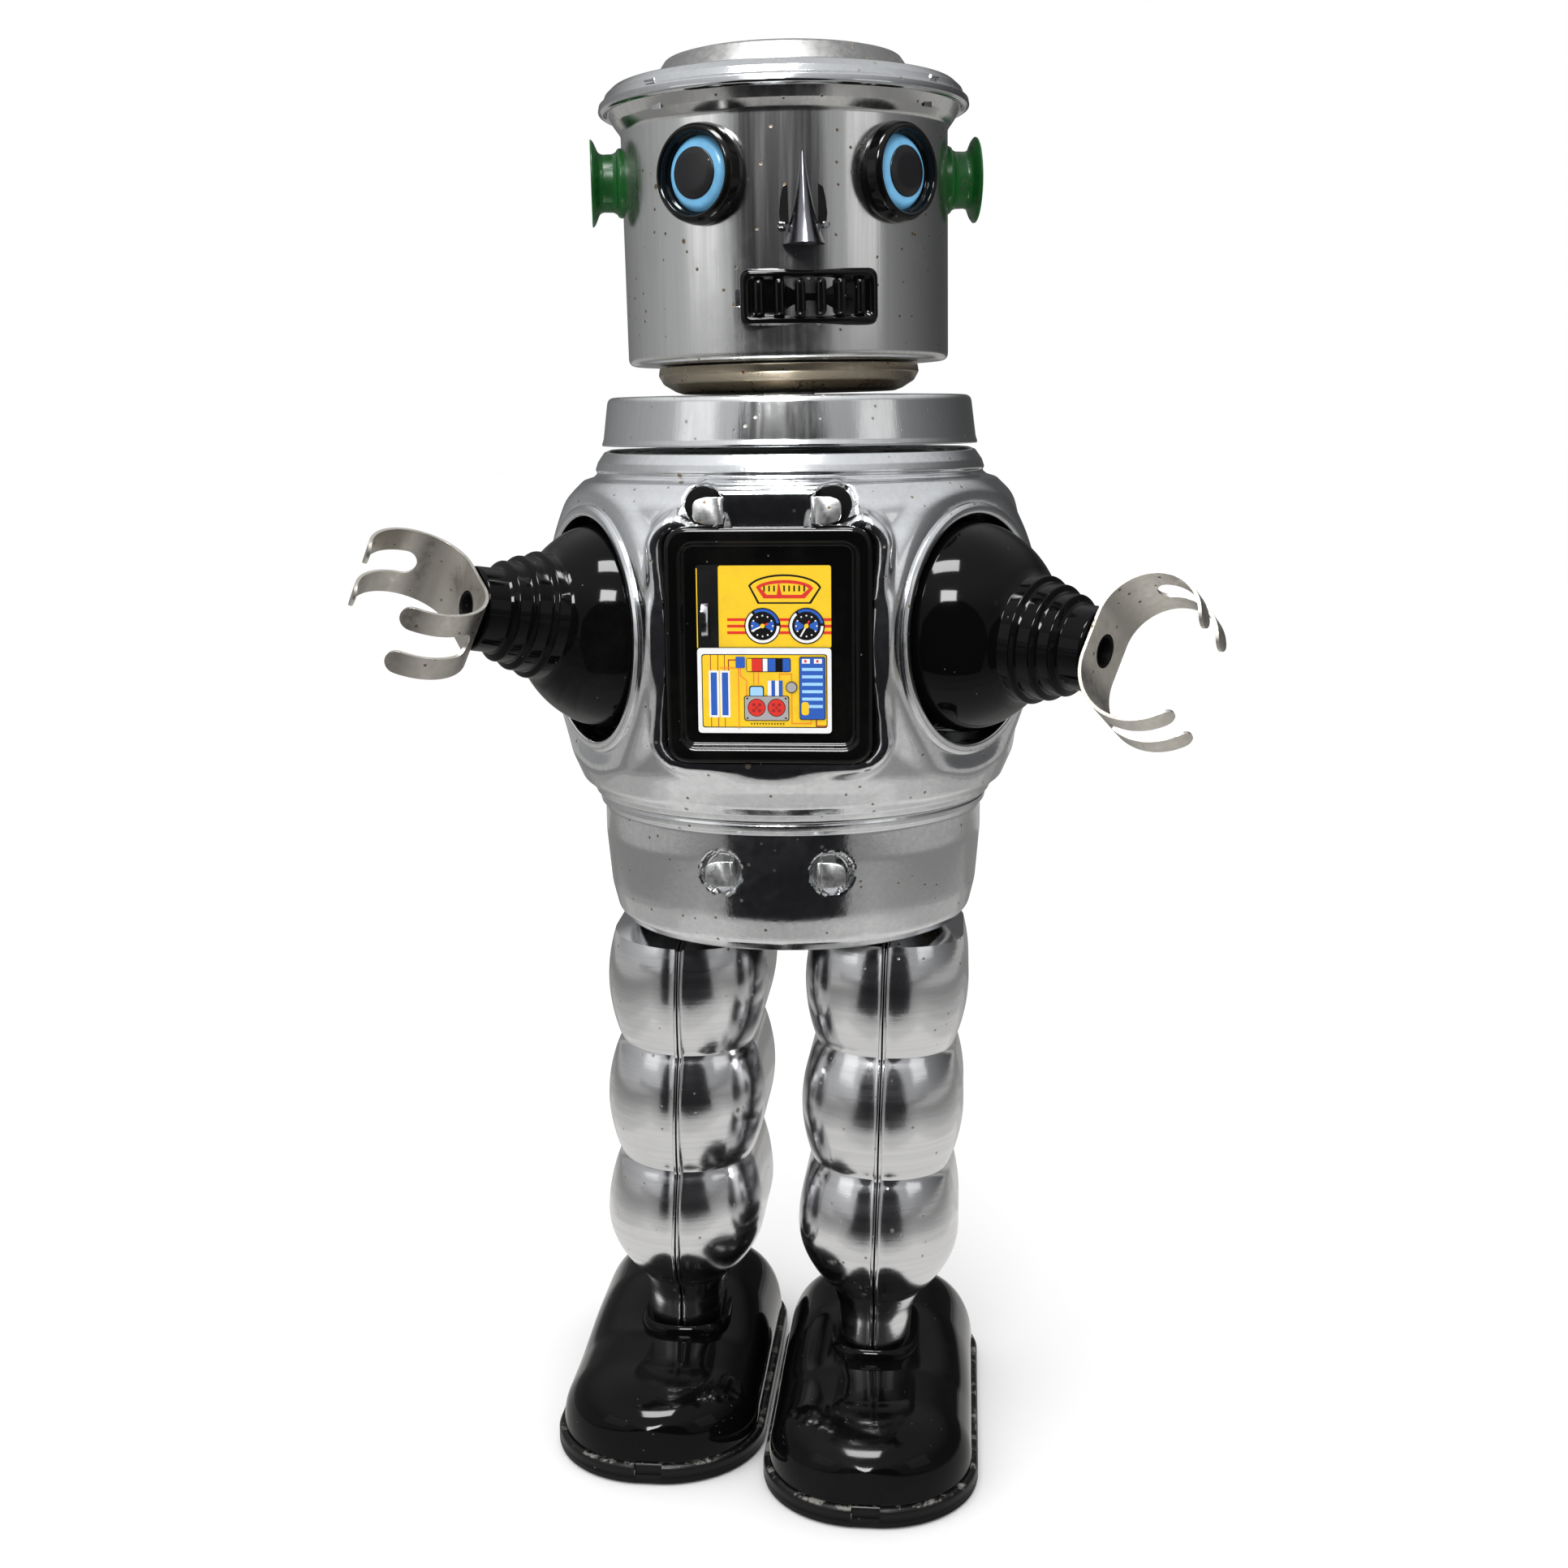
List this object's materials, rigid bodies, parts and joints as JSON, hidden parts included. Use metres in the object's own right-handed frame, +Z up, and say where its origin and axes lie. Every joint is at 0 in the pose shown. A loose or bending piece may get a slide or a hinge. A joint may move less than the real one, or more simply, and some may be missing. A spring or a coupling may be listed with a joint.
{
  "type": "toy robot",
  "caption": "Wind-up tin toy robot with a round chromed body, turning bucket head, domed swinging arms with C-shaped claws, lobed legs and roller shoes.",
  "frame": {"origin": "middle of the bottom of the bounding box, on the floor under the shoes", "axes": "+Z up, the robot faces -Y, +X towards its own left hand"},
  "size_m": [0.1324, 0.1066, 0.231],
  "materials": {
    "chrome": "polished",
    "bright_tin": "polished tinplate",
    "nickel": "satin nickel plating",
    "steel": "plain",
    "brass": "satin",
    "black_plastic": "gloss",
    "black_enamel": "gloss",
    "green_enamel": "satin, worn",
    "iris_blue": "gloss",
    "gunmetal": "dark bright plating",
    "printed_tin": "printed, gloss"
  },
  "bodies": {
    "body": {"body_front_shell": "chrome", "body_back_shell": "chrome", "collar": "bright_tin", "neck_eyelet": "steel", "chest_frame": "black_enamel", "control_panel": "printed_tin", "lever_bracket": "steel", "upper_bracket": "chrome", "lower_bracket": "chrome", "motor_plate_front": "steel", "motor_plate_back": "steel", "motor_side_left": "steel", "motor_side_right": "steel", "mainspring": "steel", "hip_rod": "steel", "arm_yoke": "steel", "arm_pin_left": "steel", "arm_pin_right": "steel"},
    "head": {"neck_cup": "bright_tin", "head_can": "bright_tin", "head_lid": "chrome", "eye_ring_left": "black_enamel", "eye_left": "iris_blue", "eye_ring_right": "black_enamel", "eye_right": "iris_blue", "nose": "gunmetal", "mouth": "black_enamel", "ear_left": "green_enamel", "ear_right": "green_enamel"},
    "start_lever": {"start_lever": "nickel"},
    "winding": {"winding_arbor": "brass", "winding_key": "nickel"},
    "second_gear": {"second_gear": "brass"},
    "governor": {"governor_fan": "brass"},
    "crown_gear": {"crown_gear": "brass"},
    "crankshaft": {"crankshaft": "steel"},
    "left_leg": {"leg_left_inner": "chrome", "leg_left_outer": "chrome", "leg_hanger_left": "steel", "sole_left": "black_plastic", "shoe_left": "black_plastic"},
    "right_leg": {"leg_right_inner": "chrome", "leg_right_outer": "chrome", "leg_hanger_right": "steel", "sole_right": "black_plastic", "shoe_right": "black_plastic"},
    "left_arm": {"shoulder_left": "black_plastic", "claw_eyelet_left": "nickel"},
    "right_arm": {"shoulder_right": "black_plastic", "claw_eyelet_right": "nickel"},
    "left_claw": {"claw_left": "nickel"},
    "right_claw": {"claw_right": "nickel"},
    "left_front_roller": {"front_roller_left": "steel"},
    "left_rear_roller": {"rear_roller_left": "steel"},
    "right_front_roller": {"front_roller_right": "steel"},
    "right_rear_roller": {"rear_roller_right": "steel"}
  },
  "joints": [
    {"name": "head_turn", "type": "hinge", "parent": "body", "child": "head", "pos_m": [-0.00152, 0.00012, 0.178], "axis": [-0.0105, 0, 0.9999], "continuous": true},
    {"name": "start_lever_swing", "type": "hinge", "parent": "body", "child": "start_lever", "pos_m": [-0.01082, -0.02688, 0.1446], "axis": [-1, 0, 0], "range_deg": [0, 30]},
    {"name": "key_turn", "type": "hinge", "parent": "body", "child": "winding", "pos_m": [-0.00152, 0.00012, 0.137], "axis": [0, 1, 0], "continuous": true},
    {"name": "second_gear_turn", "type": "hinge", "parent": "body", "child": "second_gear", "pos_m": [0.00648, 0.00012, 0.127], "axis": [0, 1, 0], "continuous": true},
    {"name": "governor_turn", "type": "hinge", "parent": "body", "child": "governor", "pos_m": [0.00648, 0.00012, 0.1382], "axis": [0, 1, 0], "continuous": true},
    {"name": "crown_gear_turn", "type": "hinge", "parent": "body", "child": "crown_gear", "pos_m": [-0.00152, 0.00012, 0.11916], "axis": [0, 1, 0], "continuous": true},
    {"name": "crankshaft_turn", "type": "hinge", "parent": "body", "child": "crankshaft", "pos_m": [-0.00152, -0.00148, 0.11916], "axis": [1, 0, 0], "continuous": true},
    {"name": "left_leg_swing", "type": "hinge", "parent": "body", "child": "left_leg", "pos_m": [0.01568, 0.00012, 0.104], "axis": [1, 0, 0], "range_deg": [0, 4.4]},
    {"name": "right_leg_swing", "type": "hinge", "parent": "body", "child": "right_leg", "pos_m": [-0.01872, 0.00012, 0.104], "axis": [1, 0, 0], "range_deg": [-4.4, 0]},
    {"name": "left_arm_lift", "type": "hinge", "parent": "body", "child": "left_arm", "pos_m": [0.02607, -0.0178, 0.142], "axis": [-0.5446, -0.8387, 0], "range_deg": [0, 14.6]},
    {"name": "right_arm_lift", "type": "hinge", "parent": "body", "child": "right_arm", "pos_m": [-0.02786, -0.01699, 0.142], "axis": [-0.632, 0.7749, 0], "range_deg": [-14.6, 0]},
    {"name": "left_claw_turn", "type": "hinge", "parent": "left_arm", "child": "left_claw", "pos_m": [0.04846, -0.03234, 0.13966], "axis": [0.8355, -0.5426, -0.0872], "continuous": true},
    {"name": "right_claw_turn", "type": "hinge", "parent": "right_arm", "child": "right_claw", "pos_m": [-0.04834, -0.03369, 0.14642], "axis": [-0.7643, -0.6234, 0.165], "continuous": true},
    {"name": "left_front_roller_spin", "type": "hinge", "parent": "left_leg", "child": "left_front_roller", "pos_m": [0.01298, -0.02638, 0.0034], "axis": [1, 0, 0], "continuous": true},
    {"name": "left_rear_roller_spin", "type": "hinge", "parent": "left_leg", "child": "left_rear_roller", "pos_m": [0.01298, 0.00862, 0.0034], "axis": [1, 0, 0], "continuous": true},
    {"name": "right_front_roller_spin", "type": "hinge", "parent": "right_leg", "child": "right_front_roller", "pos_m": [-0.02382, -0.01638, 0.0034], "axis": [1, 0, 0], "continuous": true},
    {"name": "right_rear_roller_spin", "type": "hinge", "parent": "right_leg", "child": "right_rear_roller", "pos_m": [-0.02382, 0.01862, 0.0034], "axis": [1, 0, 0], "continuous": true}
  ],
  "couplings": [
    {"joint": "second_gear_turn", "follows": "key_turn", "ratio": -3},
    {"joint": "governor_turn", "follows": "key_turn", "ratio": 7.5},
    {"joint": "crown_gear_turn", "follows": "key_turn", "ratio": 7.5},
    {"joint": "crankshaft_turn", "follows": "key_turn", "ratio": 15},
    {"joint": "right_leg_swing", "follows": "left_leg_swing", "ratio": -1},
    {"joint": "left_arm_lift", "follows": "left_leg_swing", "ratio": 3.3},
    {"joint": "right_arm_lift", "follows": "left_leg_swing", "ratio": -3.3}
  ]
}
